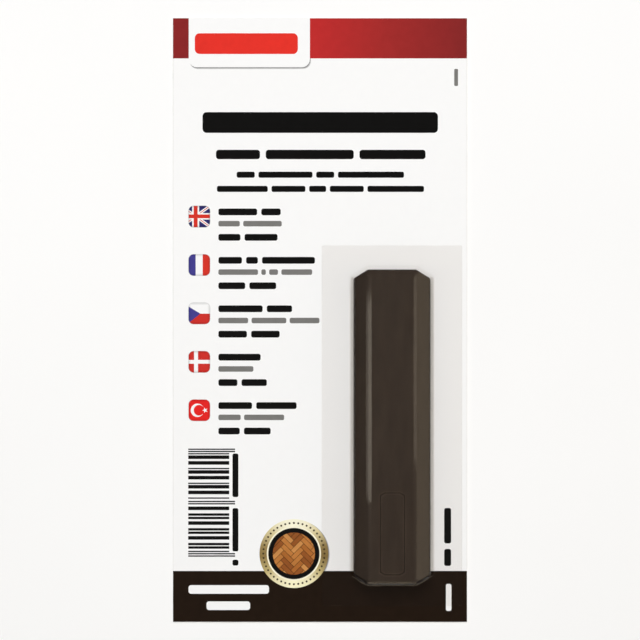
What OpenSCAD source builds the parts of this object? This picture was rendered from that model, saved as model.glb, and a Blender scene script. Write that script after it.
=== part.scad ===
// Carded repair wax stick: a cast bar of wax and a flat spatula, sealed on a card under a clear blister.
// The pack lies on its back. X runs across the card, Y up the card and Z out of its face.
// The origin is the middle of the card's back.

/* [Card] */
// Width of the card
card_w = 85; // [75:0.5:110]
// Height of the card
card_h = 174.5; // [140:0.5:220]
// Thickness of the board
card_t = 0.6; // [0.4:0.05:1.2]

/* [Wax stick] */
// Width across the back of the stick
stick_w = 22.3; // [18:0.1:26]
// Length along the back of the stick
stick_l = 90.3; // [70:0.1:100]
// Thickness of the stick
stick_t = 9; // [8:0.25:12]
// Height of the steep sides, from the back up to the shoulder
side_h = 6; // [3:0.25:6.5]
// How far the sides lean in below the shoulder
side_lean = 0.5; // [0.4:0.1:1.6]
// How far the bevel along a side runs in from the shoulder to the flat top
bevel_run = 4.1; // [3:0.1:5]
// How far the ends and the cut corners lean in from the back up to the flat top
end_lean = 0.3; // [0.2:0.05:1]
// Width that a cut corner takes off an end
corner_w = 4.2; // [3:0.1:6]
// Length that a cut corner takes off a side
corner_l = 2.6; // [2:0.1:4]
// Rounding of the shoulder
shoulder_r = 1.2; // [0.4:0.1:2]
// Rounding between the bevel and the flat top
top_r = 2.5; // [0.5:0.1:3]
// Rounding between the steep ends and the flat top
end_r = 0.6; // [0.4:0.1:2.5]

/* [Blank plate on the stick] */
// Width of the moulded plate outline
plate_w = 7.4; // [5:0.1:9]
// Length of the moulded plate outline
plate_l = 24; // [15:0.5:40]
// Gap from the plate outline to the lower end of the flat top
plate_gap = 1.4; // [1:0.1:20]
// Width of the groove that draws the outline
groove_w = 0.5; // [0.3:0.05:1]
// Depth of that groove
groove_d = 0.2; // [0.1:0.05:0.5]

/* [Blister] */
// Thickness of the clear film
film_t = 0.35; // [0.2:0.05:0.6]
// Gap between the stick and the film
fit_gap = 0.4; // [0.2:0.05:0.6]
// Radius of the hollow where the dome runs out into the flange
foot_r = 0.6; // [0.3:0.05:1]
// Width of the flange beside the dome
flange_side = 8.25; // [5:0.05:10]
// Width of the flange at the ends of the dome
flange_end = 6.15; // [4:0.05:10]
// Bare card to the right of the flange
margin_right = 1.45; // [0.5:0.05:10]
// Bare card below the flange
margin_bottom = 4.6; // [0.5:0.1:20]

/* [Spatula] */
// Thickness of the spatula
spatula_t = 1.2; // [0.8:0.1:2]
// How far the blade stays inside the stick's sides
blade_inset = 3; // [1.5:0.1:5]
// How far the spatula stays inside the stick's ends
end_inset = 6; // [4:0.5:12]
// Width of the grip
grip_w = 10.5; // [8:0.5:12]
// Length of the blade, up to where it starts to narrow
blade_l = 22; // [15:1:30]
// Length of the stretch that narrows from blade to grip
neck_l = 14; // [8:1:20]
// Length of the ground slope at the working edge
grind_l = 9; // [5:0.5:14]
// Thickness left at the working edge
edge_t = 0.4; // [0.2:0.05:0.7]

/* [Hidden] */
$fn = 48;

// How far a cut runs past the face that it opens
overrun = 1;
// Flats that draw each rounded edge
round_steps = 5;

// Angles from upright of the steep sides, of the bevel above them and of the ends
lean = atan(side_lean / side_h);
slope = atan(bevel_run / (stick_t - side_h));
end_tilt = atan(end_lean / stick_t);

// The stick lies on the spatula, and the film stands off the stick
back_z = spatula_t;
film_out = fit_gap + film_t;

// The dome's foot on the card, the flange round it and their place on the card
function foot_out(tilt) = film_out / cos(tilt) + back_z * tan(tilt);
flange_w = stick_w + 2 * (foot_out(lean) + flange_side);
flange_l = stick_l + 2 * (foot_out(end_tilt) + flange_end);
pack_x = card_w / 2 - margin_right - flange_w / 2;
pack_y = margin_bottom + flange_l / 2 - card_h / 2;

// The flange peels up round a half-round crease along its upper edge
crease_y = flange_l / 2 - film_t / 2;

// Lower end of the flat top, and the middle of the blank plate above it
flat_end = stick_l / 2 - end_lean - end_r * tan(45 - end_tilt / 2);
plate_y = plate_gap + plate_l / 2 - flat_end;

// Spatula outline: blade up the card, grip down the card
blade_w = stick_w - 2 * blade_inset;
blade_tip_y = stick_l / 2 - end_inset;
neck_y = blade_tip_y - blade_l;
grip_y = neck_y - neck_l;
grip_end_y = grip_w / 2 - blade_tip_y;

function unit(v) = v / norm(v);

// Points of a round of radius r that joins the lines before-corner and corner-after
function rounded(before, corner, after, r) =
    let (
        u = unit(before - corner),
        v = unit(after - corner),
        half = acos(u * v) / 2,
        sweep = 180 - 2 * half,
        centre = corner + unit(u + v) * r / sin(half),
        first = corner + u * r / tan(half) - centre,
        last = corner + v * r / tan(half) - centre
    )
    [for (i = [0 : round_steps])
        centre + (first * sin(sweep * (1 - i / round_steps)) + last * sin(sweep * i / round_steps)) / sin(sweep)];

// Cross-section through two opposite walls, with heights from the stick's back. half is half the stick
// between those walls at its back, and out is how far the surface stands off the stick. The walls end at
// foot_z, where a hollow of radius flare runs them out flat, and the section is closed at base_z.
// A bevelled wall breaks at the shoulder; a plain one is steep right up to the flat top.
function section(half, out, foot_z, flare, base_z, bevelled) =
    let (
        tilt = bevelled ? lean : end_tilt,
        shoulder_z = side_h + out * (1 / cos(slope) - 1 / cos(lean)) / (tan(slope) - tan(lean)),
        top_z = stick_t + out,
        wall_x = half + out / cos(tilt),
        foot = [wall_x - foot_z * tan(tilt), foot_z],
        edge = [wall_x - top_z * tan(tilt), top_z],
        shoulder = [wall_x - shoulder_z * tan(tilt), shoulder_z],
        rim = [half - side_lean - (top_z - side_h) * tan(slope) + out / cos(slope), top_z],
        skirt = flare > 0 ? rounded(foot + [flare, 0], foot, edge, flare) : [],
        base = [flare > 0 ? skirt[0].x : foot.x, base_z],
        wall = bevelled
            ? concat(
                rounded(foot, shoulder, rim, shoulder_r + out),
                rounded(shoulder, rim, [0, top_z], top_r + out))
            : rounded(foot, edge, [0, top_z], end_r + out),
        right = concat([base], skirt, wall)
    )
    concat(right, [for (i = [len(right) - 1 : -1 : 0]) [-right[i].x, right[i].y]]);

module ridge(half, out, foot_z, flare, base_z, bevelled = false) {
    span = 2 * (stick_l + stick_w + out + flare);
    rotate([90, 0, 0])
        linear_extrude(height = span, center = true)
            polygon(section(half, out, foot_z, flare, base_z, bevelled));
}

// The bevelled bar with its cut corners, grown by out; the other values are those of its cross-section
module bevelled_bar(out, foot_z, flare, base_z) {
    corner_turn = atan2(corner_w, corner_l);
    corner_half = (stick_w / 2 * corner_l + (stick_l / 2 - corner_l) * corner_w) / norm([corner_w, corner_l]);
    intersection() {
        ridge(stick_w / 2, out, foot_z, flare, base_z, bevelled = true);
        rotate(90) ridge(stick_l / 2, out, foot_z, flare, base_z);
        rotate(corner_turn) ridge(corner_half, out, foot_z, flare, base_z);
        rotate(-corner_turn) ridge(corner_half, out, foot_z, flare, base_z);
    }
}

// The plate's outline drawn in by inset, with its corners cut at the same angle as the stick's
module plate_outline(inset) {
    half_w = plate_w / 2 - inset;
    half_l = plate_l / 2 - inset;
    cut_w = half_w * corner_w / (stick_w / 2);
    cut_l = cut_w * corner_l / corner_w;
    polygon([
        [half_w, half_l - cut_l], [half_w - cut_w, half_l],
        [cut_w - half_w, half_l], [-half_w, half_l - cut_l],
        [-half_w, cut_l - half_l], [cut_w - half_w, -half_l],
        [half_w - cut_w, -half_l], [half_w, cut_l - half_l]
    ]);
}

module backing_card() {
    color("white")
        translate([-card_w / 2, -card_h / 2, 0])
            cube([card_w, card_h, card_t]);
}

module flange() {
    translate([-flange_w / 2, -flange_l / 2, 0])
        cube([flange_w, flange_l / 2 + crease_y, film_t]);
    translate([-flange_w / 2, crease_y, film_t / 2])
        rotate([0, 90, 0])
            cylinder(h = flange_w, d = film_t);
}

module blister() {
    color("lightcyan", 0.4)
        translate([pack_x, pack_y, card_t])
            difference() {
                union() {
                    flange();
                    translate([0, 0, back_z])
                        bevelled_bar(film_out, film_t - back_z, foot_r, -back_z);
                }
                translate([0, 0, back_z])
                    bevelled_bar(fit_gap, -back_z, foot_r + film_t, -back_z - overrun);
            }
}

module wax_stick() {
    color("#3a2f27")
        translate([pack_x, pack_y, card_t + back_z])
            difference() {
                bevelled_bar(0, 0, 0, 0);
                translate([0, plate_y, stick_t - groove_d])
                    linear_extrude(height = groove_d + overrun)
                        difference() {
                            plate_outline(0);
                            plate_outline(groove_w);
                        }
            }
}

module spatula() {
    color("ivory")
        translate([pack_x, pack_y, card_t])
            difference() {
                union() {
                    linear_extrude(height = spatula_t)
                        polygon([
                            [blade_w / 2, blade_tip_y], [blade_w / 2, neck_y],
                            [grip_w / 2, grip_y], [grip_w / 2, grip_end_y],
                            [-grip_w / 2, grip_end_y], [-grip_w / 2, grip_y],
                            [-blade_w / 2, neck_y], [-blade_w / 2, blade_tip_y]
                        ]);
                    translate([0, grip_end_y, 0])
                        cylinder(h = spatula_t, d = grip_w);
                }
                // Ground slope down to the working edge
                rotate([90, 0, 90])
                    linear_extrude(height = blade_w + 2 * overrun, center = true)
                        polygon([
                            [blade_tip_y - grind_l, spatula_t],
                            [blade_tip_y, edge_t],
                            [blade_tip_y + overrun, edge_t],
                            [blade_tip_y + overrun, spatula_t + overrun],
                            [blade_tip_y - grind_l, spatula_t + overrun]
                        ]);
            }
}

backing_card();
blister();
wax_stick();
spatula();
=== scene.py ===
# Carded repair wax stick: a printed card, a clear blister, a dark wax bar and a flat spatula behind it.
import bisect
import math

import bmesh
import bpy
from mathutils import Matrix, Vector


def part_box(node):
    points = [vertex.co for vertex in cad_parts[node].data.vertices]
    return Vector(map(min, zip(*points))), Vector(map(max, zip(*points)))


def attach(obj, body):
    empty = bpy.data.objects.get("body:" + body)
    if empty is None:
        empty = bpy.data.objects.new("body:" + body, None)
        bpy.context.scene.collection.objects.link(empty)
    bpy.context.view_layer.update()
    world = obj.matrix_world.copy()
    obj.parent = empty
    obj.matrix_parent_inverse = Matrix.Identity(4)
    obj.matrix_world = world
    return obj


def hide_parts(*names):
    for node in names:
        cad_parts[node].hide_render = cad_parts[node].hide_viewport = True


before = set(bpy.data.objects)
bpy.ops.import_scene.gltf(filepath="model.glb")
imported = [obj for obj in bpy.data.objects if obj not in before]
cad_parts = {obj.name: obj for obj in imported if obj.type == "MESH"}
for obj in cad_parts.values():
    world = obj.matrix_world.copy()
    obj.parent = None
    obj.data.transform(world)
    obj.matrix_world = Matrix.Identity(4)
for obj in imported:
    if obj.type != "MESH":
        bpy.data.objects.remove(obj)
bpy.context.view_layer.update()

# Sizes that the part's source gives, in millimetres
MM = 0.001
SIDE_H = 6.0
SIDE_LEAN = 0.5
BEVEL_RUN = 4.1
END_LEAN = 0.3
CORNER_W = 4.2
CORNER_L = 2.6
SHOULDER_R = 1.2
TOP_R = 2.5
END_R = 0.6
PLATE_W = 7.4
PLATE_L = 24.0
PLATE_GAP = 1.4
GROOVE_W = 0.5
GROOVE_D = 0.2
FILM_T = 0.35
FIT_GAP = 0.4
FOOT_R = 0.6
GRIP_W = 10.5
BLADE_L = 22.0
NECK_L = 14.0
GRIND_L = 9.0
EDGE_T = 0.4


def box_mm(node):
    """Lowest and highest corner of a node, in millimetres."""
    low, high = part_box(node)
    return low / MM, high / MM


card_low, card_high = box_mm("backing_card")
film_low, film_high = box_mm("blister")
stick_low, stick_high = box_mm("wax_stick")
spatula_low, spatula_high = box_mm("spatula")
stick_w, stick_l, stick_t = stick_high - stick_low
pack_x, pack_y = (stick_low.xy + stick_high.xy) / 2
back_z = stick_low.z - card_high.z

LEAN = math.atan(SIDE_LEAN / SIDE_H)
SLOPE = math.atan(BEVEL_RUN / (stick_t - SIDE_H))
END_TILT = math.atan(END_LEAN / stick_t)
CORNER_TURN = math.atan2(CORNER_W, CORNER_L)
CORNER_HALF = (
    stick_w / 2 * math.cos(CORNER_TURN) + (stick_l / 2 - CORNER_L) * math.sin(CORNER_TURN)
)

# The ink lies in thin steps on a face that is set down, so that the film's flange lies clear of it
FACE_DROP = 0.08
INK_STEP = 0.011
INK_SINK = 0.01
face_z = card_high.z - FACE_DROP

# The print stops just short of the card's edges
PRINT_EDGE = 0.02
print_half_w = card_high.x - PRINT_EDGE
print_half_h = card_high.y - PRINT_EDGE
BAND_LOW = 75.63
FOOTER_TOP = -72.56

# Rows of print on the left of the card, each with a flag at its head
ROW_TOP = 33.0
ROW_PITCH = 14.0
FLAG_X = -34.9
FLAG_HALF = 3.095
# A flag's shading starts at this share of its half width and ends at this share of its ink
RIM_START = 0.76
RIM_SHADE = 0.7


# Colour and node helpers

def linear(red, green, blue):
    """A colour in screen values from 0 to 255, as a linear colour with full alpha."""
    def channel(value):
        share = value / 255
        return share / 12.92 if share <= 0.04045 else ((share + 0.055) / 1.055) ** 2.4

    return channel(red), channel(green), channel(blue), 1.0


def add_node(tree, kind, values=None, **settings):
    """A node with its settings and its input values."""
    node = tree.nodes.new(kind)
    for name, value in settings.items():
        setattr(node, name, value)
    for name, value in (values or {}).items():
        node.inputs[name].default_value = value
    return node


def join(tree, source, output, target, entry):
    """Links an output of one node to an input of another."""
    tree.links.new(source.outputs[output], target.inputs[entry])


def add_ramp(tree, stops):
    """A colour ramp with the given places and colours."""
    node = tree.nodes.new("ShaderNodeValToRGB")
    ramp = node.color_ramp
    while len(ramp.elements) < len(stops):
        ramp.elements.new(1.0)
    for element, (place, colour) in zip(ramp.elements, stops):
        element.position = place
        element.color = colour
    return node


def new_material(name):
    """An empty node material and its output node."""
    material = bpy.data.materials.new(name)
    material.use_nodes = True
    tree = material.node_tree
    tree.nodes.clear()
    return material, tree, tree.nodes.new("ShaderNodeOutputMaterial")


def new_group(name, colours_in, numbers_in, colours_out, numbers_out):
    """A node group with the named sockets, and the nodes where they come in and go out."""
    group = bpy.data.node_groups.new(name, "ShaderNodeTree")
    for labels, way, kind in (
        (colours_in, "INPUT", "NodeSocketColor"), (numbers_in, "INPUT", "NodeSocketFloat"),
        (colours_out, "OUTPUT", "NodeSocketColor"), (numbers_out, "OUTPUT", "NodeSocketFloat"),
    ):
        for label in labels:
            group.interface.new_socket(label, in_out=way, socket_type=kind)
    return group, add_node(group, "NodeGroupInput"), add_node(group, "NodeGroupOutput")


# Shared effects

def make_print_grain():
    """Ink on coated board: uneven ink, a satin that varies and the board's fine tooth."""
    group, given, result = new_group(
        "print_grain", ("Ink",), ("Mottle", "Satin"), ("Color",), ("Roughness", "Height")
    )
    place = add_node(group, "ShaderNodeTexCoord")
    cloud = add_node(group, "ShaderNodeTexNoise", {"Scale": 420.0, "Detail": 4.0, "Roughness": 0.6})
    tooth = add_node(group, "ShaderNodeTexNoise", {"Scale": 5200.0, "Detail": 3.0})
    about_zero = {"From Min": 0.25, "From Max": 0.75, "To Min": -1.0, "To Max": 1.0}
    spread = add_node(group, "ShaderNodeMapRange", about_zero)
    grit = add_node(group, "ShaderNodeMapRange", about_zero)
    tone = add_node(group, "ShaderNodeMath", {2: 1.0}, operation="MULTIPLY_ADD")
    inked = add_node(group, "ShaderNodeVectorMath", operation="SCALE")
    satin = add_node(group, "ShaderNodeMath", {1: 0.07}, operation="MULTIPLY_ADD")
    join(group, place, "Object", cloud, "Vector")
    join(group, place, "Object", tooth, "Vector")
    join(group, cloud, 0, spread, "Value")
    join(group, tooth, 0, grit, "Value")
    join(group, spread, 0, tone, 0)
    join(group, given, "Mottle", tone, 1)
    join(group, given, "Ink", inked, 0)
    join(group, tone, 0, inked, "Scale")
    join(group, grit, 0, satin, 0)
    join(group, given, "Satin", satin, 2)
    join(group, inked, 0, result, "Color")
    join(group, satin, 0, result, "Roughness")
    join(group, tooth, 0, result, "Height")
    return group


def make_flag_rim():
    """Shading of the flags: each row's flag is darker along its border."""
    group, given, result = new_group("flag_rim", ("Ink",), (), ("Color",), ())
    place = add_node(group, "ShaderNodeTexCoord")
    parts = add_node(group, "ShaderNodeSeparateXYZ")
    aside = add_node(group, "ShaderNodeMath", {1: FLAG_X * MM}, operation="SUBTRACT")
    drop = add_node(group, "ShaderNodeMath", {0: ROW_TOP * MM}, operation="SUBTRACT")
    in_row = add_node(group, "ShaderNodeMath", {1: ROW_PITCH * MM}, operation="MODULO")
    below = add_node(group, "ShaderNodeMath", {1: FLAG_HALF * MM}, operation="SUBTRACT")
    width = add_node(group, "ShaderNodeMath", operation="ABSOLUTE")
    height = add_node(group, "ShaderNodeMath", operation="ABSOLUTE")
    reach = add_node(group, "ShaderNodeMath", operation="MAXIMUM")
    shade = add_node(
        group, "ShaderNodeMapRange",
        {
            "From Min": RIM_START * FLAG_HALF * MM, "From Max": FLAG_HALF * MM,
            "To Min": 1.0, "To Max": RIM_SHADE,
        },
    )
    shaded = add_node(group, "ShaderNodeVectorMath", operation="SCALE")
    join(group, place, "Object", parts, 0)
    join(group, parts, "X", aside, 0)
    join(group, parts, "Y", drop, 1)
    join(group, drop, 0, in_row, 0)
    join(group, in_row, 0, below, 0)
    join(group, aside, 0, width, 0)
    join(group, below, 0, height, 0)
    join(group, width, 0, reach, 0)
    join(group, height, 0, reach, 1)
    join(group, reach, 0, shade, "Value")
    join(group, given, "Ink", shaded, 0)
    join(group, shade, 0, shaded, "Scale")
    join(group, shaded, 0, result, "Color")
    return group


print_grain = make_print_grain()
flag_rim = make_flag_rim()


# Materials

def print_surface(tree, output, mottle, satin):
    """A printed surface of the card; returns its grain node, whose ink is still to be given."""
    values = {"Mottle": mottle, "Satin": satin}
    grain = add_node(tree, "ShaderNodeGroup", values, node_tree=print_grain)
    bump = add_node(tree, "ShaderNodeBump", {"Strength": 0.12, "Distance": 0.00002})
    shader = add_node(tree, "ShaderNodeBsdfPrincipled", {"IOR": 1.46, "Specular IOR Level": 0.12})
    join(tree, grain, "Color", shader, "Base Color")
    join(tree, grain, "Roughness", shader, "Roughness")
    join(tree, grain, "Height", bump, "Height")
    join(tree, bump, "Normal", shader, "Normal")
    join(tree, shader, "BSDF", output, "Surface")
    return grain


def print_material(name, colour, mottle=0.05, satin=0.42, rim=False):
    """Ink, or the bare coat, on the face of the card. A list of stops makes a blend across the card, and
    rim darkens a flag along its border."""
    material, tree, output = new_material(name)
    grain = print_surface(tree, output, mottle, satin)
    if isinstance(colour, list):
        place = add_node(tree, "ShaderNodeTexCoord")
        across = add_node(tree, "ShaderNodeSeparateXYZ")
        share = add_node(
            tree, "ShaderNodeMapRange",
            {"From Min": card_low.x * MM, "From Max": card_high.x * MM},
        )
        blend = add_ramp(tree, colour)
        join(tree, place, "Object", across, 0)
        join(tree, across, "X", share, "Value")
        join(tree, share, 0, blend, 0)
        join(tree, blend, "Color", grain, "Ink")
    elif rim:
        border = add_node(tree, "ShaderNodeGroup", node_tree=flag_rim)
        border.inputs["Ink"].default_value = colour
        join(tree, border, "Color", grain, "Ink")
    else:
        grain.inputs["Ink"].default_value = colour
    return material


def cut_edge_material():
    """The die-cut edge of the board: layers of pale fibre."""
    material, tree, output = new_material("cut_edge")
    place = add_node(tree, "ShaderNodeTexCoord")
    layers = add_node(tree, "ShaderNodeMapping", {"Scale": (600.0, 600.0, 9000.0)})
    fibre = add_node(tree, "ShaderNodeTexNoise", {"Scale": 1.0, "Detail": 5.0, "Roughness": 0.65})
    tones = add_ramp(tree, [(0.3, linear(196, 190, 180)), (0.7, linear(238, 235, 228))])
    bump = add_node(tree, "ShaderNodeBump", {"Strength": 0.5, "Distance": 0.00006})
    shader = add_node(tree, "ShaderNodeBsdfPrincipled", {"Roughness": 0.85})
    join(tree, place, "Object", layers, "Vector")
    join(tree, layers, "Vector", fibre, "Vector")
    join(tree, fibre, 0, tones, 0)
    join(tree, fibre, 0, bump, "Height")
    join(tree, tones, "Color", shader, "Base Color")
    join(tree, bump, "Normal", shader, "Normal")
    join(tree, shader, "BSDF", output, "Surface")
    return material


def bare_back_material():
    """The uncoated back of the board: warm grey fibre with darker flecks."""
    material, tree, output = new_material("bare_back")
    place = add_node(tree, "ShaderNodeTexCoord")
    fibre = add_node(tree, "ShaderNodeTexNoise", {"Scale": 700.0, "Detail": 6.0, "Roughness": 0.7})
    fleck = add_node(tree, "ShaderNodeTexNoise", {"Scale": 1500.0, "Detail": 2.0})
    tones = add_ramp(tree, [(0.3, linear(205, 199, 188)), (0.7, linear(226, 221, 211))])
    specks = add_ramp(tree, [(0.66, linear(255, 255, 255)), (0.74, linear(178, 166, 150))])
    flecked = add_node(tree, "ShaderNodeVectorMath", operation="MULTIPLY")
    bump = add_node(tree, "ShaderNodeBump", {"Strength": 0.35, "Distance": 0.00005})
    shader = add_node(tree, "ShaderNodeBsdfPrincipled", {"Roughness": 0.9})
    join(tree, place, "Object", fibre, "Vector")
    join(tree, place, "Object", fleck, "Vector")
    join(tree, fibre, 0, tones, 0)
    join(tree, fleck, 0, specks, 0)
    join(tree, tones, "Color", flecked, 0)
    join(tree, specks, "Color", flecked, 1)
    join(tree, flecked, 0, shader, "Base Color")
    join(tree, fibre, 0, bump, "Height")
    join(tree, bump, "Normal", shader, "Normal")
    join(tree, shader, "BSDF", output, "Surface")
    return material


def wax_material():
    """Dark cast wax: cloudy brown, a soft sheen and faint ripples from the mould."""
    material, tree, output = new_material("walnut_wax")
    place = add_node(tree, "ShaderNodeTexCoord")
    pour = add_node(tree, "ShaderNodeMapping", {"Scale": (4.0, 0.8, 1.0)})
    cloud = add_node(tree, "ShaderNodeTexNoise", {"Scale": 90.0, "Detail": 5.0, "Roughness": 0.62})
    grain = add_node(tree, "ShaderNodeTexNoise", {"Scale": 2600.0, "Detail": 3.0})
    ripple = add_node(tree, "ShaderNodeTexNoise", {"Scale": 70.0, "Detail": 2.0})
    tones = add_ramp(tree, [(0.3, linear(51, 42, 35)), (0.72, linear(60, 50, 42))])
    # Painted light: the vertex value makes the groove's lips paler, a painted highlight, and its floor
    # darker, painted shade
    groove_painted_light = add_node(tree, "ShaderNodeAttribute", attribute_name="groove_painted_light")
    painted_light = add_node(tree, "ShaderNodeMath", {1: 0.5, 2: 1.0}, operation="MULTIPLY_ADD")
    painted_light_tones = add_node(tree, "ShaderNodeVectorMath", operation="SCALE")
    sheen = add_node(
        tree, "ShaderNodeMapRange",
        {"From Min": 0.3, "From Max": 0.7, "To Min": 0.52, "To Max": 0.66},
    )
    upward = add_node(tree, "ShaderNodeSeparateXYZ")
    rubbed = add_node(
        tree, "ShaderNodeMapRange",
        {"From Min": 0.55, "From Max": 0.8, "To Min": 0.0, "To Max": 0.6},
    )
    broad = add_node(tree, "ShaderNodeBump", {"Strength": 0.25, "Distance": 0.0004})
    fine = add_node(tree, "ShaderNodeBump", {"Strength": 0.06, "Distance": 0.00003})
    shader = add_node(
        tree, "ShaderNodeBsdfPrincipled",
        {"IOR": 1.44, "Specular IOR Level": 0.04, "Coat Roughness": 0.3, "Coat IOR": 1.44},
    )
    join(tree, place, "Object", pour, "Vector")
    join(tree, pour, "Vector", cloud, "Vector")
    join(tree, place, "Object", grain, "Vector")
    join(tree, place, "Object", ripple, "Vector")
    join(tree, cloud, 0, tones, 0)
    join(tree, cloud, 0, sheen, "Value")
    join(tree, ripple, 0, broad, "Height")
    join(tree, grain, 0, fine, "Height")
    join(tree, broad, "Normal", fine, "Normal")
    join(tree, groove_painted_light, "Fac", painted_light, 0)
    join(tree, tones, "Color", painted_light_tones, 0)
    join(tree, painted_light, 0, painted_light_tones, "Scale")
    join(tree, painted_light_tones, 0, shader, "Base Color")
    join(tree, sheen, 0, shader, "Roughness")
    join(tree, place, "Normal", upward, 0)
    join(tree, upward, "Z", rubbed, "Value")
    join(tree, rubbed, 0, shader, "Coat Weight")
    join(tree, fine, "Normal", shader, "Coat Normal")
    join(tree, fine, "Normal", shader, "Normal")
    join(tree, shader, "BSDF", output, "Surface")
    return material


def film_material():
    """Clear formed film: it lets the view through with a faint tint and mirrors softly. Seen edge on it
    passes much less, as painted shade beside the bar; where its skin faces along the bar, at the ends, most
    of that is taken away."""
    material, tree, output = new_material("clear_film")
    place = add_node(tree, "ShaderNodeTexCoord")
    waver = add_node(tree, "ShaderNodeTexNoise", {"Scale": 55.0, "Detail": 2.0})
    bump = add_node(tree, "ShaderNodeBump", {"Strength": 0.12, "Distance": 0.0006})
    haze = add_node(tree, "ShaderNodeTexNoise", {"Scale": 260.0, "Detail": 4.0})
    dull = add_node(tree, "ShaderNodeMapRange", {"To Min": 0.02, "To Max": 0.06})
    mirror = add_node(tree, "ShaderNodeFresnel", {"IOR": 1.5})
    limit = add_node(tree, "ShaderNodeMath", {1: 0.065}, operation="MINIMUM")
    # Painted shade: a darker tint where the film is seen edge on, mostly taken away where its skin faces
    # along the bar
    steep = add_node(tree, "ShaderNodeLayerWeight")
    way = add_node(tree, "ShaderNodeSeparateXYZ")
    lengthwise = add_node(tree, "ShaderNodeMath", operation="ABSOLUTE")
    thin = add_node(
        tree, "ShaderNodeMapRange",
        {"From Min": 0.45, "From Max": 0.8, "To Min": 1.0, "To Max": 0.1},
    )
    edge_on_painted_shade = add_node(tree, "ShaderNodeMath", operation="MULTIPLY")
    depth = add_ramp(tree, [
        (0.0, (0.992, 0.988, 0.984, 1.0)),
        (0.1, (0.964, 0.958, 0.951, 1.0)),
        (0.35, (0.945, 0.937, 0.928, 1.0)),
        (0.9, (0.84, 0.825, 0.805, 1.0)),
    ])
    side = add_node(tree, "ShaderNodeNewGeometry")
    outer = add_node(tree, "ShaderNodeMath", {0: 1.0}, operation="SUBTRACT")
    share = add_node(tree, "ShaderNodeMath", operation="MULTIPLY")
    clear = add_node(tree, "ShaderNodeBsdfTransparent")
    gloss = add_node(tree, "ShaderNodeBsdfAnisotropic", {"Color": (1.0, 1.0, 1.0, 1.0)})
    mix = add_node(tree, "ShaderNodeMixShader")
    join(tree, place, "Object", waver, "Vector")
    join(tree, place, "Object", haze, "Vector")
    join(tree, waver, 0, bump, "Height")
    join(tree, haze, 0, dull, "Value")
    join(tree, dull, 0, gloss, "Roughness")
    join(tree, bump, "Normal", gloss, "Normal")
    join(tree, side, "Backfacing", outer, 1)
    join(tree, place, "Normal", way, 0)
    join(tree, way, "Y", lengthwise, 0)
    join(tree, lengthwise, 0, thin, "Value")
    join(tree, steep, "Facing", edge_on_painted_shade, 0)
    join(tree, thin, 0, edge_on_painted_shade, 1)
    join(tree, edge_on_painted_shade, 0, depth, 0)
    join(tree, depth, "Color", clear, "Color")
    join(tree, mirror, 0, limit, 0)
    join(tree, limit, 0, share, 0)
    join(tree, outer, 0, share, 1)
    join(tree, share, 0, mix, 0)
    join(tree, clear, 0, mix, 1)
    join(tree, gloss, 0, mix, 2)
    join(tree, mix, 0, output, "Surface")
    return material


def spatula_material():
    """Pale moulded plastic with a fine matt skin."""
    material, tree, output = new_material("pale_plastic")
    place = add_node(tree, "ShaderNodeTexCoord")
    flow = add_node(tree, "ShaderNodeTexNoise", {"Scale": 90.0, "Detail": 3.0})
    skin = add_node(tree, "ShaderNodeTexNoise", {"Scale": 3800.0, "Detail": 2.0})
    tones = add_ramp(tree, [(0.3, linear(224, 219, 205)), (0.7, linear(236, 232, 220))])
    matt = add_node(tree, "ShaderNodeMapRange", {"To Min": 0.38, "To Max": 0.52})
    bump = add_node(tree, "ShaderNodeBump", {"Strength": 0.15, "Distance": 0.00003})
    shader = add_node(tree, "ShaderNodeBsdfPrincipled")
    join(tree, place, "Object", flow, "Vector")
    join(tree, place, "Object", skin, "Vector")
    join(tree, flow, 0, tones, 0)
    join(tree, skin, 0, matt, "Value")
    join(tree, skin, 0, bump, "Height")
    join(tree, tones, "Color", shader, "Base Color")
    join(tree, matt, 0, shader, "Roughness")
    join(tree, bump, "Normal", shader, "Normal")
    join(tree, shader, "BSDF", output, "Surface")
    return material


def foil_material(centre):
    """Printed gold round the seal: light above and below, deeper at the sides."""
    material, tree, output = new_material("gold_ring")
    place = add_node(tree, "ShaderNodeTexCoord")
    middle = add_node(tree, "ShaderNodeVectorMath", operation="SUBTRACT")
    middle.inputs[1].default_value = (centre[0] * MM, centre[1] * MM, 0.0)
    lean = add_node(tree, "ShaderNodeVectorMath", operation="NORMALIZE")
    flat = add_node(tree, "ShaderNodeVectorMath", operation="MULTIPLY")
    flat.inputs[1].default_value = (1.0, 1.0, 0.0)
    up = add_node(tree, "ShaderNodeSeparateXYZ")
    share = add_node(tree, "ShaderNodeMapRange", {"From Min": -1.0, "From Max": 1.0})
    blend = add_ramp(tree, [
        (0.0, linear(250, 244, 205)),
        (0.22, linear(196, 178, 122)),
        (0.45, linear(140, 117, 70)),
        (0.62, linear(152, 130, 82)),
        (0.86, linear(222, 208, 160)),
        (1.0, linear(250, 246, 220)),
    ])
    grain = print_surface(tree, output, mottle=0.06, satin=0.36)
    join(tree, place, "Object", middle, 0)
    join(tree, middle, 0, flat, 0)
    join(tree, flat, 0, lean, 0)
    join(tree, lean, 0, up, 0)
    join(tree, up, "Y", share, "Value")
    join(tree, share, 0, blend, 0)
    join(tree, blend, "Color", grain, "Ink")
    return material


def floor_material():
    """Plain pale table top."""
    material, tree, output = new_material("pale_floor")
    place = add_node(tree, "ShaderNodeTexCoord")
    cloud = add_node(tree, "ShaderNodeTexNoise", {"Scale": 6.0, "Detail": 3.0})
    tones = add_ramp(tree, [(0.3, linear(249, 249, 248)), (0.7, linear(252, 252, 251))])
    shader = add_node(tree, "ShaderNodeBsdfPrincipled", {"Roughness": 0.8, "Specular IOR Level": 0.2})
    join(tree, place, "Object", cloud, "Vector")
    join(tree, cloud, 0, tones, 0)
    join(tree, tones, "Color", shader, "Base Color")
    join(tree, shader, "BSDF", output, "Surface")
    return material


# Mesh helpers

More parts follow.
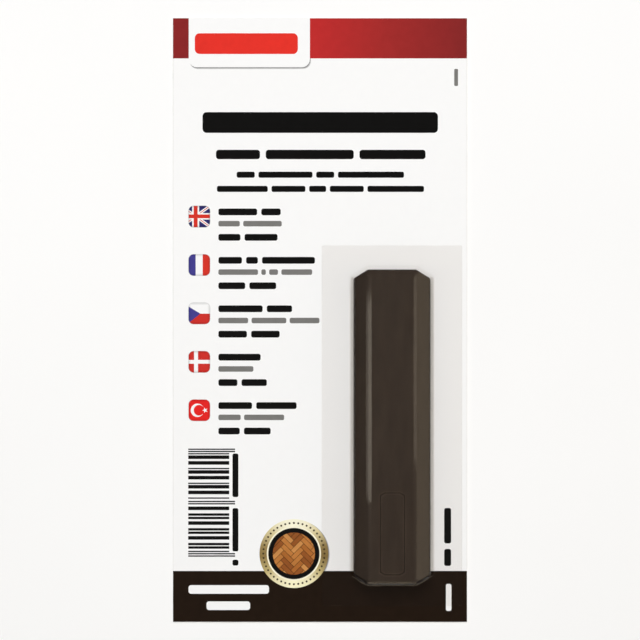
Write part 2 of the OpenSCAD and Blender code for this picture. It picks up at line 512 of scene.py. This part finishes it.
def place_piece(name, bm, materials, body, smooth_angle=None):
    """Turns a mesh into an object that rides on a body."""
    bmesh.ops.recalc_face_normals(bm, faces=bm.faces)
    mesh = bpy.data.meshes.new(name)
    bm.to_mesh(mesh)
    bm.free()
    for material in materials:
        mesh.materials.append(material)
    piece = bpy.data.objects.new(name, mesh)
    bpy.context.scene.collection.objects.link(piece)
    if smooth_angle is not None:
        mesh.shade_smooth()
        mesh.set_sharp_from_angle(angle=math.radians(smooth_angle))
        weighted = piece.modifiers.new("flat_faces_stay_flat", "WEIGHTED_NORMAL")
        weighted.keep_sharp = True
    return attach(piece, body)


def bridge(bm, lower, upper):
    """Quads between two rings of vertices."""
    for i in range(len(lower)):
        bm.faces.new((lower[i - 1], lower[i], upper[i], upper[i - 1]))


def loft(bm, rings):
    """Skins a stack of rings, given as points in metres; returns the first and the last ring."""
    made = [[bm.verts.new(point) for point in ring] for ring in rings]
    for lower, upper in zip(made, made[1:]):
        bridge(bm, lower, upper)
    return made[0], made[-1]


def close_doubles(bm):
    """Joins vertices that fell on the same spot."""
    bmesh.ops.remove_doubles(bm, verts=bm.verts, dist=0.0000005)


def fill_open_edges(bm, height):
    """Fills the flat opening between the open edges that lie at one height."""
    edges = [
        edge for edge in bm.edges
        if edge.is_boundary and all(abs(vert.co.z - height) < 0.000001 for vert in edge.verts)
    ]
    bmesh.ops.triangle_fill(bm, use_beauty=True, edges=edges)


def rounded_path(corners, radii, steps=8):
    """The rounds at a path's inner corners, as one run of points."""
    points = []
    for before, corner, after, radius in zip(corners, corners[1:], corners[2:], radii):
        corner = Vector(corner)
        back = (Vector(before) - corner).normalized()
        on = (Vector(after) - corner).normalized()
        half = math.acos(back.dot(on)) / 2
        sweep = math.pi - 2 * half
        centre = corner + (back + on).normalized() * radius / math.sin(half)
        first = corner + back * radius / math.tan(half) - centre
        last = corner + on * radius / math.tan(half) - centre
        for step in range(steps + 1):
            share = step / steps
            turned = first * math.sin(sweep * (1 - share)) + last * math.sin(sweep * share)
            points.append(centre + turned / math.sin(sweep))
    return points


def oblong(left, low, right, high):
    """Outline of a rectangle."""
    return [(left, low), (right, low), (right, high), (left, high)]


def rounded_box(left, low, right, high, radius, steps=5):
    """Outline of a rectangle with rounded corners."""
    radius = min(radius, (right - left) / 2, (high - low) / 2)
    outline = []
    centres = (
        (right - radius, high - radius), (left + radius, high - radius),
        (left + radius, low + radius), (right - radius, low + radius),
    )
    for quarter, (x, y) in enumerate(centres):
        for step in range(steps + 1):
            angle = math.pi / 2 * (quarter + step / steps)
            outline.append((x + radius * math.cos(angle), y + radius * math.sin(angle)))
    return outline


def disc(x, y, radius, count=64):
    """Outline of a circle."""
    turns = [2 * math.pi * i / count for i in range(count)]
    return [(x + radius * math.cos(turn), y + radius * math.sin(turn)) for turn in turns]


def clip(outline, window):
    """The part of a convex outline that lies in a convex window; both run anticlockwise."""
    kept = list(outline)
    for (ax, ay), (bx, by) in zip(window, window[1:] + window[:1]):
        def inside(point):
            return (bx - ax) * (point[1] - ay) - (by - ay) * (point[0] - ax)

        source = kept
        kept = []
        for start, end in zip(source, source[1:] + source[:1]):
            at_start = inside(start)
            at_end = inside(end)
            if at_start >= 0:
                kept.append(start)
            if at_start * at_end < 0:
                share = at_start / (at_start - at_end)
                kept.append((
                    start[0] + share * (end[0] - start[0]),
                    start[1] + share * (end[1] - start[1]),
                ))
        if len(kept) < 3:
            return []
    return kept


# The bar's form, which the stick and the film share

def wall_path(out, foot_z, toe, foot_r, bevelled):
    """Side view of a wall: how far out of the stick's back edge, and how high above its back."""
    top_z = stick_t + out
    tilt = LEAN if bevelled else END_TILT
    wall_x = out / math.cos(tilt)
    foot = (wall_x - foot_z * math.tan(tilt), foot_z)
    start = (foot[0] + toe, foot_z)
    if not bevelled:
        edge = (wall_x - top_z * math.tan(tilt), top_z)
        return rounded_path((start, foot, edge, (edge[0] - 1, top_z)), (foot_r, END_R + out))
    rise = out * (1 / math.cos(SLOPE) - 1 / math.cos(LEAN)) / (math.tan(SLOPE) - math.tan(LEAN))
    shoulder = (wall_x - (SIDE_H + rise) * math.tan(LEAN), SIDE_H + rise)
    rim_x = out / math.cos(SLOPE) - SIDE_LEAN - (top_z - SIDE_H) * math.tan(SLOPE)
    corners = (start, foot, shoulder, (rim_x, top_z), (rim_x - 1, top_z))
    return rounded_path(corners, (foot_r, SHOULDER_R + out, TOP_R + out))


def reach_at(path, height):
    """How far out a wall stands at a height."""
    above = bisect.bisect_left([point.y for point in path], height)
    if above == 0:
        return path[0].x
    if above == len(path):
        return path[-1].x
    low, high = path[above - 1], path[above]
    share = (height - low.y) / (high.y - low.y)
    return low.x + share * (high.x - low.x)


def bar_ring(side_reach, end_reach, height, corner_r, steps=5):
    """The bar's outline at a height, with its long sides and its ends moved out by their reaches."""
    side = stick_w / 2 + side_reach - corner_r
    end = stick_l / 2 + end_reach - corner_r
    cut = CORNER_HALF + end_reach - corner_r
    across, along = math.cos(CORNER_TURN), math.sin(CORNER_TURN)
    near_side = near_end = (side, end)
    if side * across + end * along > cut:
        near_side = (side, (cut - side * across) / along)
        near_end = ((cut - end * along) / across, end)
    quarter = []
    for (x, y), first, last in ((near_side, 0, CORNER_TURN), (near_end, CORNER_TURN, math.pi / 2)):
        for step in range(steps + 1):
            angle = first + (last - first) * step / steps
            quarter.append((x + corner_r * math.cos(angle), y + corner_r * math.sin(angle)))
    outline = quarter + [(-x, y) for x, y in reversed(quarter)]
    outline += [(-x, -y) for x, y in outline]
    z = stick_low.z + height
    return [((pack_x + x) * MM, (pack_y + y) * MM, z * MM) for x, y in outline]


def bar_rings(out, foot_z, toe, foot_r, corner_r):
    """The bar's whole skin, as rings from its foot up to the flat top."""
    sides = wall_path(out, foot_z, toe, foot_r, bevelled=True)
    ends = wall_path(out, foot_z, toe, foot_r, bevelled=False)
    heights = sorted({round(point.y, 5) for point in sides + ends})
    return [
        bar_ring(reach_at(sides, height), reach_at(ends, height), height, corner_r)
        for height in heights
    ]


# Pieces

# Rings across the plate's groove: share of its width, share of its depth, and painted light on the wax
# there:
# paler as a painted highlight on the lips, darker as painted shade in the groove where it is negative
GROOVE_RINGS = (
    (-0.6, 0.0, 0.0), (-0.05, 0.0, 1.0), (0.06, 0.12, 1.0), (0.24, 0.62, -0.6),
    (0.38, 0.93, -1.0), (0.5, 1.0, -1.0), (0.62, 0.93, -1.0),
    (0.76, 0.62, -0.6), (0.94, 0.12, 1.0), (1.05, 0.0, 1.0), (1.6, 0.0, 0.0),
)


def make_wax_stick():
    """The wax bar, with the outline of a blank plate sunk into its flat top."""
    bm = bmesh.new()
    bottom, _ = loft(bm, bar_rings(out=0, foot_z=0, toe=-1, foot_r=0.3, corner_r=0.8))
    bm.faces.new(bottom)
    flat_end = stick_l / 2 - END_LEAN - END_R * math.tan(math.pi / 4 - END_TILT / 2)
    middle = pack_y + PLATE_GAP + PLATE_L / 2 - flat_end
    # Each groove ring carries its painted light: a painted highlight on the lips, painted shade in the floor
    groove_painted_light = bm.verts.layers.float.new("groove_painted_light")
    made = []
    for share, depth, painted_light in GROOVE_RINGS:
        inset = share * GROOVE_W
        cut = (PLATE_W / 2 - inset) * CORNER_W / (stick_w / 2)
        outline = plate_outline(PLATE_W / 2 - inset, PLATE_L / 2 - inset, cut, cut * CORNER_L / CORNER_W)
        z = stick_high.z - depth * GROOVE_D
        ring = [bm.verts.new(((pack_x + x) * MM, (middle + y) * MM, z * MM)) for x, y in outline]
        for vert in ring:
            vert[groove_painted_light] = painted_light
        if made:
            bridge(bm, made[-1], ring)
        made.append(ring)
    bm.faces.new(made[-1])
    close_doubles(bm)
    fill_open_edges(bm, stick_high.z * MM)
    piece = place_piece("wax_bar", bm, [wax_material()], "stick", smooth_angle=40)
    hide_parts("wax_stick")
    return piece


def plate_outline(half_w, half_l, cut_w, cut_l):
    """Outline of the blank plate, with its corners cut as the bar's are."""
    quarter = [(half_w, half_l - cut_l), (half_w - cut_w, half_l)]
    outline = quarter + [(-x, y) for x, y in reversed(quarter)]
    return outline + [(-x, -y) for x, y in outline]


# Rings round the flange's cut edge: how far in, and how high above the card
FLANGE_RINGS = ((0.1, 0.0), (0.03, 0.04), (0.0, 0.12), (0.0, 0.24), (0.04, 0.32), (0.12, FILM_T))


def make_film():
    """The blister: one closed skin with a dome over the bar and a flat flange round it."""
    bm = bmesh.new()
    flange_low = card_high.z
    flange_top = flange_low + FILM_T
    outside = bar_rings(FIT_GAP + FILM_T, FILM_T - back_z, toe=1, foot_r=FOOT_R, corner_r=1.5)
    inside = bar_rings(FIT_GAP, -back_z, toe=1, foot_r=FOOT_R + FILM_T, corner_r=1.15)
    _, outer_top = loft(bm, outside)
    _, inner_top = loft(bm, inside)
    bm.faces.new(outer_top)
    bm.faces.new(inner_top)
    rings = []
    for inset, z in FLANGE_RINGS:
        outline = rounded_box(
            film_low.x + inset, film_low.y + inset, film_high.x - inset, film_high.y - inset,
            radius=0.5,
        )
        rings.append([(x * MM, y * MM, (flange_low + z) * MM) for x, y in outline])
    loft(bm, rings)
    close_doubles(bm)
    fill_open_edges(bm, flange_low * MM)
    fill_open_edges(bm, flange_top * MM)
    piece = place_piece("clear_blister", bm, [film_material()], "blister", smooth_angle=40)
    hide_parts("blister")
    return piece


# Steps along the spatula's round end and its neck, and along its ground slope
SPATULA_STEPS = 10
GRIND_STEPS = 5


def make_spatula():
    """The flat spatula: a rounded grip, a neck that widens and a blade ground to an edge."""
    thick = spatula_high.z - spatula_low.z
    grip = GRIP_W / 2
    blade = (spatula_high.x - spatula_low.x) / 2
    tip_y = spatula_high.y
    grind_y = tip_y - GRIND_L
    neck_y = tip_y - BLADE_L
    grip_y = neck_y - NECK_L
    round_y = spatula_low.y + grip
    stations = []
    for step in range(1, SPATULA_STEPS + 1):
        angle = math.pi / 2 * step / SPATULA_STEPS
        stations.append((round_y - grip * math.cos(angle), grip * math.sin(angle), thick))
    for step in range(SPATULA_STEPS + 1):
        share = step / SPATULA_STEPS
        swell = (1 - math.cos(math.pi * share)) / 2
        stations.append((grip_y + NECK_L * share, grip + (blade - grip) * swell, thick))
    stations.append((grind_y - 0.4, blade, thick))
    for step in range(GRIND_STEPS + 1):
        share = step / GRIND_STEPS
        stations.append((grind_y + GRIND_L * share, blade, thick - (thick - EDGE_T) * share))
    bm = bmesh.new()
    rings = []
    for y, half, height in stations:
        outline = rounded_box(-half, 0, half, height, min(0.3, 0.45 * height), steps=3)
        rings.append([
            ((pack_x + x) * MM, y * MM, (spatula_low.z + z) * MM) for x, z in outline
        ])
    first, last = loft(bm, rings)
    bm.faces.new(first)
    bm.faces.new(last)
    piece = place_piece("flat_spatula", bm, [spatula_material()], "spatula", smooth_angle=35)
    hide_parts("spatula")
    return piece


# Softening of the board's cut edge
BOARD_EDGE = 0.05


def make_board():
    """The card: coated face, cut edges and bare back."""
    bm = bmesh.new()
    rings = []
    for inset, z in (
        (BOARD_EDGE, 0.0), (0.0, BOARD_EDGE), (0.0, face_z - BOARD_EDGE), (BOARD_EDGE, face_z)
    ):
        outline = rounded_box(
            card_low.x + inset, card_low.y + inset, card_high.x - inset, card_high.y - inset,
            radius=0.2, steps=3,
        )
        rings.append([(x * MM, y * MM, z * MM) for x, y in outline])
    back, face = loft(bm, rings)
    bm.faces.new(back)
    bm.faces.new(face)
    bmesh.ops.recalc_face_normals(bm, faces=bm.faces)
    for polygon in bm.faces:
        polygon.material_index = 1
        if abs(polygon.normal.z) > 0.9:
            polygon.material_index = 0 if polygon.normal.z > 0 else 2
    materials = [
        print_material("coated_face", linear(247, 247, 246), mottle=0.006, satin=0.4),
        cut_edge_material(),
        bare_back_material(),
    ]
    piece = place_piece("printed_card", bm, materials, "card")
    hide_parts("backing_card")
    return piece


# Print on the card, as thin closed steps of ink

BLACK = print_material("ink_black", linear(15, 15, 15), mottle=0.1)
GREY = print_material("ink_grey", linear(122, 121, 118), mottle=0.06)
WHITE = print_material("ink_white", linear(247, 247, 246), mottle=0.006)
BROWN = print_material("ink_brown", linear(32, 22, 15), mottle=0.12)
RED = print_material("ink_red", linear(226, 52, 43))
SHADE_DARK = print_material("ink_shade_dark", linear(138, 138, 138))
SHADE_PALE = print_material("ink_shade_pale", linear(212, 212, 211))
BAND_RED = print_material("ink_band_red", [
    (0.0, linear(136, 40, 41)),
    (0.06, linear(134, 40, 41)),
    (0.46, linear(189, 45, 45)),
    (0.52, linear(184, 45, 45)),
    (0.72, linear(160, 44, 43)),
    (1.0, linear(131, 40, 40)),
])


def print_piece(name, shapes):
    """One printed element: shapes are (outline, step, ink), in millimetres."""
    bm = bmesh.new()
    inks = []
    for outline, step, ink in shapes:
        if ink not in inks:
            inks.append(ink)
        low = (face_z - INK_SINK) * MM
        high = (face_z + (step + 1) * INK_STEP) * MM
        under, upper = loft(bm, [[(x * MM, y * MM, z) for x, y in outline] for z in (low, high)])
        bm.faces.new(under)
        bm.faces.new(upper)
        bm.faces.ensure_lookup_table()
        for polygon in bm.faces[len(bm.faces) - len(outline) - 2:]:
            polygon.material_index = inks.index(ink)
    return place_piece(name, bm, inks, "card")


def bar_line(left, middle_y, height, width, shares):
    """A line of plain bars with gaps between them; shares says how they split the line."""
    gap = 0.62 * height
    unit = (width - gap * (len(shares) - 1)) / sum(shares)
    bars = []
    for share in shares:
        right = left + unit * share
        bars.append(rounded_box(left, middle_y - height / 2, right, middle_y + height / 2, 0.3 * height))
        left = right + gap
    return bars


def make_band():
    """The red band across the top, with a white tab that hangs from it and holds a plain red bar."""
    tab = rounded_box(-37.96, 73.06, -2.92, 92.0, 2.3)
    window = oblong(-print_half_w, 0, print_half_w, print_half_h)
    below = oblong(-print_half_w, 0, print_half_w, BAND_LOW)
    near_shade = [(x + 0.16, y - 0.3) for x, y in tab]
    far_shade = [(x + 0.32, y - 0.52) for x, y in tab]
    return print_piece("top_band", [
        (oblong(-print_half_w, BAND_LOW, print_half_w, print_half_h), 0, BAND_RED),
        (clip(far_shade, below), 1, SHADE_PALE),
        (clip(near_shade, below), 2, SHADE_DARK),
        (clip(tab, window), 3, WHITE),
        (rounded_box(-36.2, 76.9, -6.4, 82.9, 1.4), 4, RED),
    ])


def make_titles():
    """One broad bar, three lines of slimmer bars under it, and a small upright bar on the right."""
    bars = [rounded_box(-33.97, 54.1, 34.1, 60.1, 1.2)]
    bars += bar_line(-30.07, 47.85, 2.7, 60.57, (4, 8, 6))
    bars += bar_line(-24.08, 42.0, 1.75, 48.36, (3, 9, 3, 11))
    bars += bar_line(-29.8, 37.9, 1.75, 59.87, (9, 6, 3, 6, 10))
    shapes = [(bar, 0, BLACK) for bar in bars]
    shapes.append((rounded_box(38.8, 67.65, 39.9, 72.6, 0.35), 0, GREY))
    return print_piece("title_bars", shapes)


# The three lines of each row: width, and how its bars split it
ROWS = (
    ((18.0, (6, 3)), (18.3, (5, 9)), (17.1, (4, 6))),
    ((27.9, (4, 2, 9)), (27.1, (9, 1, 2, 7)), (16.7, (5, 5))),
    ((21.3, (7, 4)), (29.2, (6, 7, 6)), (17.7, (5, 5))),
    ((12.2, (7,)), (10.1, (7,)), (14.0, (3, 4))),
    ((22.6, (5, 6)), (19.0, (5, 9)), (15.1, (4, 5))),
)


def make_rows():
    """Three lines of bars beside each flag."""
    shapes = []
    places = ((1.75, 1.95, BLACK), (5.15, 1.6, GREY), (9.1, 1.95, BLACK))
    for row, lines in enumerate(ROWS):
        top = ROW_TOP - row * ROW_PITCH
        for (width, shares), (drop, height, ink) in zip(lines, places):
            shapes += [(bar, 0, ink) for bar in bar_line(-29.37, top - drop, height, width, shares)]
    return print_piece("row_bars", shapes)


# The striped code: its place, the length of one of its 95 units, and how far its ink spreads
CODE_LEFT = -38.1
CODE_TOP = -37.2
CODE_RIGHT = -26.25
GUARD_RIGHT = -24.57
CODE_UNIT = 31.2 / 95
CODE_SPREAD = 0.03


def make_barcode():
    """A striped code of made-up widths, with longer guard stripes and plain bars beside it."""
    stripes = []

    def stripe(first, count, right):
        high = CODE_TOP - first * CODE_UNIT + CODE_SPREAD
        low = high - count * CODE_UNIT - 2 * CODE_SPREAD
        stripes.append((oblong(CODE_LEFT, low, right, high), 0, BLACK))

    for first in (0, 2, 46, 48, 92, 94):
        stripe(first, 1, GUARD_RIGHT)
    for start in (3, 50):
        end = start + 41
        at = start + 1
        turn = 0
        while at < end:
            dark = min(1 + (turn * turn * 5 + turn * 3 + start) % 3, end - at)
            stripe(at, dark, CODE_RIGHT)
            at += dark + 1 + (turn * 7 + start) % 3
            turn += 1
    for low, high in ((-66.9, -54.4), (-51.2, -38.6), (-71.0, -69.3)):
        stripes.append((rounded_box(-25.3, low, -23.6, high, 0.5), 0, BLACK))
    return print_piece("striped_code", stripes)


def make_footer():
    """The dark block along the bottom, with plain pale bars."""
    return print_piece("bottom_block", [
        (oblong(-print_half_w, -print_half_h, print_half_w, FOOTER_TOP), 0, BROWN),
        (rounded_box(-38.0, -79.15, -14.74, -76.65, 0.75), 1, WHITE),
        (rounded_box(-32.8, -83.85, -20.2, -81.35, 0.75), 1, WHITE),
        (rounded_box(36.4, -84.1, 38.0, -76.3, 0.5), 1, WHITE),
    ])


def make_side_bars():
    """Two upright bars of print to the right of the stick, under the film."""
    return print_piece("side_bars", [
        (rounded_box(35.9, -71.1, 37.9, -66.2, 0.6), 0, BLACK),
        (rounded_box(35.9, -64.6, 37.9, -54.35, 0.6), 0, BLACK),
    ])


# The seal: its middle, and the radii of its gold, its ring of beads, its cream line and its black disc
SEAL_X = -7.55
SEAL_Y = -67.53
SEAL_R = 9.95
SEAL_BEADS_R = 8.85
SEAL_BEADS = 44
SEAL_LINE_R = 7.85
SEAL_DISC_R = 7.4
WOODS = (
    print_material("wood_tan", linear(186, 120, 60), mottle=0.12),
    print_material("wood_amber", linear(170, 103, 48), mottle=0.12),
    print_material("wood_chestnut", linear(146, 84, 40), mottle=0.12),
    print_material("wood_honey", linear(200, 138, 76), mottle=0.12),
)


def make_seal():
    """A round gold seal with a beaded rim and a herringbone floor of four woods."""
    gold = foil_material((SEAL_X, SEAL_Y))
    cream = print_material("seal_cream", linear(248, 242, 216))
    bead = print_material("seal_bead", linear(70, 58, 38))
    above = oblong(-print_half_w, FOOTER_TOP, print_half_w, 0)
    shapes = [
        (clip(disc(SEAL_X + 0.42, SEAL_Y - 0.2, SEAL_R), above), 1, SHADE_PALE),
        (clip(disc(SEAL_X + 0.22, SEAL_Y - 0.1, SEAL_R), above), 2, SHADE_DARK),
        (disc(SEAL_X, SEAL_Y, SEAL_R, 96), 3, gold),
    ]
    for x, y in disc(SEAL_X, SEAL_Y, SEAL_BEADS_R, SEAL_BEADS):
        shapes.append((disc(x, y, 0.3, 12), 4, bead))
    shapes.append((disc(SEAL_X, SEAL_Y, SEAL_LINE_R, 80), 4, cream))
    shapes.append((disc(SEAL_X, SEAL_Y, SEAL_DISC_R, 80), 5, BLACK))
    shapes += herringbone()
    return print_piece("gold_seal", shapes)


def herringbone():
    """Blocks of a herringbone floor, clipped to a disc inside the seal."""
    window = disc(SEAL_X, SEAL_Y, SEAL_DISC_R - 1.3, 72)
    size = 1.35
    long = 3
    gap = 0.045
    turn = math.pi / 4
    blocks = []
    for i in range(-12, 13):
        for j in range(-5, 6):
            x, y = i + long * j, i - long * j
            blocks.append((x, y, x + long, y + 1))
            blocks.append((x - 1, y, x, y + long))
    shapes = []
    for count, (left, low, right, high) in enumerate(blocks):
        middle = ((left + right) / 2, (low + high) / 2)
        outline = []
        for x, y in oblong(left, low, right, high):
            x += gap if x < middle[0] else -gap
            y += gap if y < middle[1] else -gap
            outline.append((
                SEAL_X + size * (x * math.cos(turn) - y * math.sin(turn)),
                SEAL_Y + size * (x * math.sin(turn) + y * math.cos(turn)),
            ))
        kept = clip(outline, window)
        if kept:
            shapes.append((kept, 6, WOODS[(count * count + count // 3) % len(WOODS)]))
    return shapes


# Flags, drawn in a square from -1 to 1 and clipped to its rounded corners

FLAG_R = 0.47
FLAG_KEYLINE = 1.03
# Each step of a flag lies a hair inside the step below it
FLAG_DRAW_IN = 0.001


def flag_points(outline, row, grow=1.0):
    """An outline in flag units, set in the place of a row's flag on the card."""
    middle = ROW_TOP - row * ROW_PITCH - FLAG_HALF
    half = FLAG_HALF * grow
    return [(FLAG_X + half * x, middle + half * y) for x, y in outline]


def flag_piece(name, row, parts):
    """One flag: parts are (outline, step, ink) in flag units, over a thin grey keyline."""
    window = rounded_box(-1, -1, 1, 1, FLAG_R)
    shapes = [(flag_points(window, row, FLAG_KEYLINE), 0, SHADE_PALE)]
    for outline, step, ink in parts:
        kept = clip(outline, window)
        if kept:
            shapes.append((flag_points(kept, row, 1 - FLAG_DRAW_IN * step), step, ink))
    return print_piece(name, shapes)


def upright_cross(hub, half_x, half_y):
    """Outlines of a cross: the upright, and the two arms beside it."""
    left, right = hub[0] - half_x, hub[0] + half_x
    low, high = hub[1] - half_y, hub[1] + half_y
    return [oblong(left, -1, right, 1), oblong(-1, low, left, high), oblong(right, low, 1, high)]


def spoke(start, end, half):
    """Outline of a straight bar between two points."""
    along = (Vector(end) - Vector(start)).normalized()
    side = Vector((-along.y, along.x)) * half
    points = (Vector(start) - side, Vector(end) - side, Vector(end) + side, Vector(start) + side)
    return [tuple(point) for point in points]


def make_flags():
    """The five flags beside the rows of bars."""
    square = oblong(-1, -1, 1, 1)
    navy = print_material("flag_navy", linear(48, 45, 105), rim=True)
    scarlet = print_material("flag_scarlet", linear(212, 54, 43), rim=True)
    violet = print_material("flag_blue", linear(68, 64, 140), rim=True)
    crimson = print_material("flag_crimson", linear(203, 50, 44), rim=True)
    bright = print_material("flag_red", linear(228, 40, 38), rim=True)
    pale = print_material("flag_white", linear(247, 247, 246), mottle=0.01, rim=True)
    hub = (-0.34, 0.02)
    left, right = hub[0] - 1.54, hub[0] + 1.54
    low, high = hub[1] - 1.12, hub[1] + 1.12
    diagonals = (((left, low), (right, high)), ((left, high), (right, low)))
    cross = [(square, 1, navy)]
    cross += [(spoke(start, end, 0.13), 2, pale) for start, end in diagonals]
    cross += [(spoke(start, end, 0.035), 3, scarlet) for start, end in diagonals]
    cross += [
        (outline, step, ink)
        for half_x, half_y, step, ink in ((0.33, 0.3, 4, pale), (0.185, 0.175, 5, scarlet))
        for outline in upright_cross(hub, half_x, half_y)
    ]
    flag_piece("flag_saltire", 0, cross)
    flag_piece("flag_three_stripes", 1, [
        (square, 1, pale),
        (oblong(-1, -1, -0.34, 1), 2, violet),
        (oblong(0.32, -1, 1, 1), 2, scarlet),
    ])
    flag_piece("flag_wedge", 2, [
        (square, 1, pale),
        (oblong(-1, -1, 1, -0.02), 2, crimson),
        ([(-1, -0.9), (0.1, -0.02), (-1, 0.64)], 3, violet),
    ])
    flag_piece("flag_cross", 3, [
        (square, 1, crimson),
        *((outline, 2, pale) for outline in upright_cross((-0.305, 0.005), 0.185, 0.175)),
    ])
    star = []
    for i in range(10):
        radius = 0.27 if i % 2 == 0 else 0.105
        turn = math.pi + math.pi * i / 5
        star.append((0.545 + radius * math.cos(turn), radius * math.sin(turn)))
    flag_piece("flag_crescent", 4, [
        (square, 1, bright),
        (disc(-0.17, 0, 0.625, 48), 2, pale),
        (disc(-0.02, 0, 0.5, 48), 3, bright),
    ])
    print_piece("flag_star", [(flag_points(star, 4), 4, pale)])


# Stage, lights and camera

def make_floor():
    """A wide pale table just under the card."""
    bm = bmesh.new()
    bmesh.ops.create_grid(bm, x_segments=8, y_segments=8, size=6.0)
    mesh = bpy.data.meshes.new("floor")
    bm.to_mesh(mesh)
    bm.free()
    mesh.materials.append(floor_material())
    floor = bpy.data.objects.new("floor", mesh)
    floor.location.z = -0.00005
    bpy.context.scene.collection.objects.link(floor)


def softbox(name, turn, fall, distance, size, glow, tint, shift_y=0.0, mirrored=True, lit=True):
    """A soft panel of light that faces the card. turn is its direction round the card from +X, and fall
    its angle from straight above; size is across and upright, and glow its surface's brightness.
    One that isn't mirrored lights the pack without drawing a line on the film, and one that isn't lit
    only draws its line."""
    turn, fall = math.radians(turn), math.radians(fall)
    data = bpy.data.lights.new(name, "AREA")
    data.shape = "RECTANGLE"
    data.size, data.size_y = size
    data.energy = glow * math.pi * size[0] * size[1]
    data.color = tint
    lamp = bpy.data.objects.new(name, data)
    lamp.location = (
        distance * math.sin(fall) * math.cos(turn),
        distance * math.sin(fall) * math.sin(turn) + shift_y,
        distance * math.cos(fall),
    )
    lamp.rotation_euler = (fall, 0.0, turn + math.pi / 2)
    lamp.visible_camera = False
    lamp.visible_glossy = mirrored
    lamp.visible_diffuse = lit
    bpy.context.scene.collection.objects.link(lamp)


def make_sky():
    """A dim room: dark straight above, with a warmer and brighter wall on the right."""
    world = bpy.data.worlds.new("studio")
    bpy.context.scene.world = world
    world.use_nodes = True
    tree = world.node_tree
    tree.nodes.clear()
    output = add_node(tree, "ShaderNodeOutputWorld")
    sky = add_node(tree, "ShaderNodeBackground")
    place = add_node(tree, "ShaderNodeTexCoord")
    way = add_node(tree, "ShaderNodeSeparateXYZ")
    right = add_node(tree, "ShaderNodeMapRange", {"From Min": -1.0, "From Max": 1.0})
    walls = add_ramp(tree, [(0.0, (0.05, 0.05, 0.05, 1.0)), (1.0, (0.2, 0.19, 0.18, 1.0))])
    ceiling = add_ramp(tree, [(0.8, (1.0, 1.0, 1.0, 1.0)), (0.97, (0.4, 0.4, 0.4, 1.0))])
    room = add_node(tree, "ShaderNodeVectorMath", operation="MULTIPLY")
    join(tree, place, "Generated", way, 0)
    join(tree, way, "X", right, "Value")
    join(tree, right, 0, walls, 0)
    join(tree, way, "Z", ceiling, 0)
    join(tree, walls, "Color", room, 0)
    join(tree, ceiling, "Color", room, 1)
    join(tree, room, 0, sky, "Color")
    join(tree, sky, 0, output, "Surface")


def make_light():
    """A broad key nearly overhead lights the pack. The other panels are mirrored in the film: one beyond
    the lower edge, a strip with a brighter core on the left, and a strip and a low panel on the right."""
    make_sky()
    softbox("upper_key", 90, 14, 1.2, (0.34, 0.8), 15.5, (0.963, 0.976, 1.0), mirrored=False)
    softbox("lower_line", 270, 62, 1.2, (1.6, 0.8), 1.85, (1.0, 0.82, 0.58), lit=False)
    softbox("left_strip", 180, 35, 0.506, (0.079, 0.608), 1.15, (1.0, 0.9, 0.74), shift_y=-0.0304)
    softbox("left_core", 180, 25, 0.506, (0.079, 0.3), 0.95, (1.0, 0.9, 0.74), shift_y=-0.0304)
    softbox("right_strip", 0, 31, 0.56, (0.076, 0.33), 1.1, (1.0, 0.84, 0.64), shift_y=-0.018)
    softbox("right_panel", 0, 64, 0.6, (0.26, 0.43), 0.58, (1.0, 0.8, 0.52), shift_y=-0.042)


def make_camera():
    """A long lens straight above the card, with the photograph's framing."""
    data = bpy.data.cameras.new("above")
    data.lens = 300.0
    data.sensor_width = 36.0
    camera = bpy.data.objects.new("above", data)
    frame_width = 185.02 * MM
    camera.location = (0.0, 0.0, card_high.z * MM + frame_width * data.lens / data.sensor_width)
    bpy.context.scene.collection.objects.link(camera)
    bpy.context.scene.camera = camera


make_camera()
make_light()
make_floor()
make_board()
make_band()
make_titles()
make_rows()
make_flags()
make_barcode()
make_footer()
make_side_bars()
make_seal()
make_spatula()
make_wax_stick()
make_film()
bpy.context.scene.view_settings.view_transform = "Standard"
